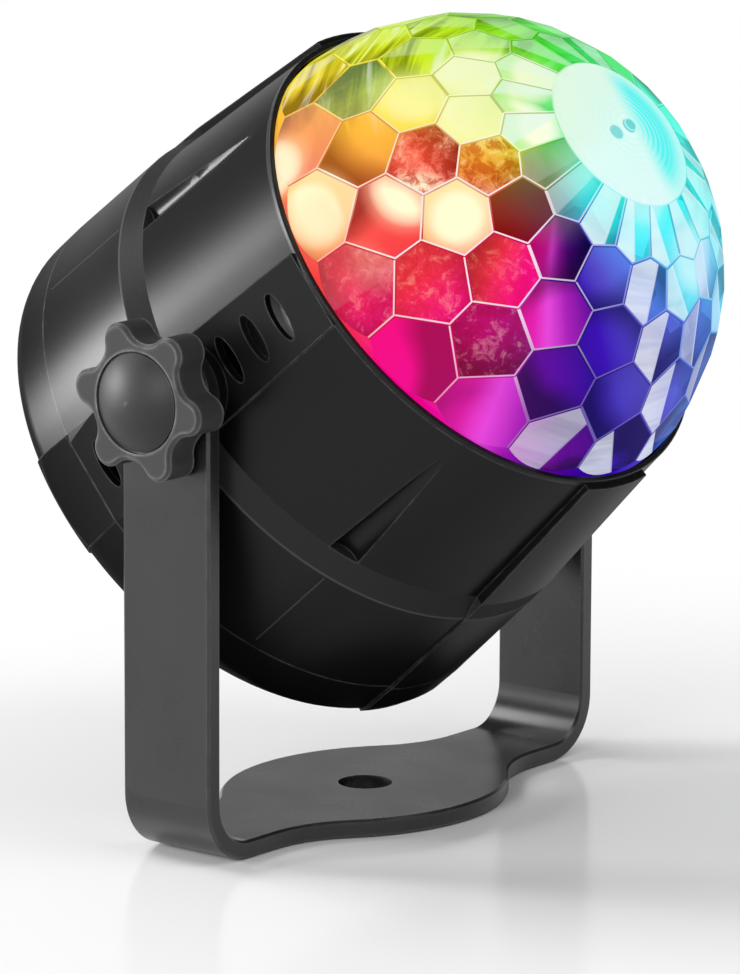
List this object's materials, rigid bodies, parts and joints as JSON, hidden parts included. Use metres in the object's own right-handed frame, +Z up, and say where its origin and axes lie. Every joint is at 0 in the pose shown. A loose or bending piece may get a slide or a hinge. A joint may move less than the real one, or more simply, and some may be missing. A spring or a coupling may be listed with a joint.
{
  "type": "led disco ball light",
  "caption": "Clear faceted dome that spins on a black fluted barrel, which tilts in a U-shaped bracket and is clamped by star knobs; lights, motor and driver sit inside.",
  "frame": {"origin": "centre of the hole in the bracket's foot, on its underside, which stands on the table", "axes": "+Z up, X along the tilt pivot from the left knob to the right one, -Y to the front, where the dome leans"},
  "size_m": [0.1192, 0.1161, 0.1316],
  "materials": {
    "bracket_paint": "satin",
    "housing_black": "satin",
    "bezel_black": "gloss",
    "dome_clear": "clear gloss",
    "lens_clear": "clear gloss",
    "knob_black": "satin",
    "cap_grey": "gloss",
    "steel": "brushed",
    "brass": "turned",
    "sink_aluminium": "milled",
    "rubber_black": "matt",
    "tray_white": "matt",
    "board_white": "satin",
    "board_green": "satin",
    "emitter_yellow": "gloss",
    "gearbox_steel": "brushed",
    "transformer_tape": "satin",
    "capacitor_sleeve": "gloss",
    "header_white": "matt",
    "lead_red": "satin"
  },
  "bodies": {
    "yoke": {"yoke_bracket": "bracket_paint"},
    "rotor": {"faceted_dome": "dome_clear", "drive_shaft": "steel", "hub_clip": "steel"},
    "left_clamp": {"left_knob_washer": "steel"},
    "left_screw": {"left_knob": "knob_black", "left_knob_cap": "cap_grey", "left_knob_stud": "steel"},
    "right_clamp": {"right_knob_washer": "steel"},
    "right_screw": {"right_knob": "knob_black", "right_knob_cap": "cap_grey", "right_knob_stud": "steel"},
    "head": {"barrel_housing": "housing_black", "bezel_ring": "bezel_black", "rear_cover": "housing_black", "cover_screws": "steel", "cord_gland": "rubber_black", "microphone": "steel", "heat_sink": "sink_aluminium", "light_board": "board_white", "led_emitters": "emitter_yellow", "led_lenses": "lens_clear", "reflector_tray": "tray_white", "tray_screws": "steel", "motor_bracket": "steel", "motor_standoffs": "brass", "motor_screws": "steel", "motor_gearbox": "gearbox_steel", "gear_motor": "gearbox_steel", "motor_leads": "lead_red", "driver_board": "board_green", "board_screws": "steel", "power_transformer": "transformer_tape", "filter_capacitors": "capacitor_sleeve", "lead_header": "header_white", "led_lead": "lead_red", "left_friction_washer": "rubber_black", "left_pivot_insert": "brass", "right_friction_washer": "rubber_black", "right_pivot_insert": "brass"}
  },
  "joints": [
    {"name": "head_tilt", "type": "hinge", "parent": "yoke", "child": "head", "pos_m": [0, 0, 0.075], "axis": [1, 0, 0], "range_deg": [-130, 100]},
    {"name": "dome_spin", "type": "hinge", "parent": "head", "child": "rotor", "pos_m": [0, -0.00064, 0.07423], "axis": [0, -0.7694, 0.6388], "continuous": true},
    {"name": "left_clamp_travel", "type": "slide", "parent": "head", "child": "left_clamp", "axis": [-1, 0, 0], "range_m": [0, 0.002]},
    {"name": "left_knob_turn", "type": "hinge", "parent": "left_clamp", "child": "left_screw", "pos_m": [-0.054, 0, 0.075], "axis": [-1, 0, 0], "range_deg": [0, 720]},
    {"name": "right_clamp_travel", "type": "slide", "parent": "head", "child": "right_clamp", "axis": [1, 0, 0], "range_m": [0, 0.002]},
    {"name": "right_knob_turn", "type": "hinge", "parent": "right_clamp", "child": "right_screw", "pos_m": [0.054, 0, 0.075], "axis": [1, 0, 0], "range_deg": [0, 720]}
  ],
  "couplings": [
    {"joint": "left_clamp_travel", "follows": "left_knob_turn", "m_per_rad": 0.00015915},
    {"joint": "right_clamp_travel", "follows": "right_knob_turn", "m_per_rad": 0.00015915}
  ]
}
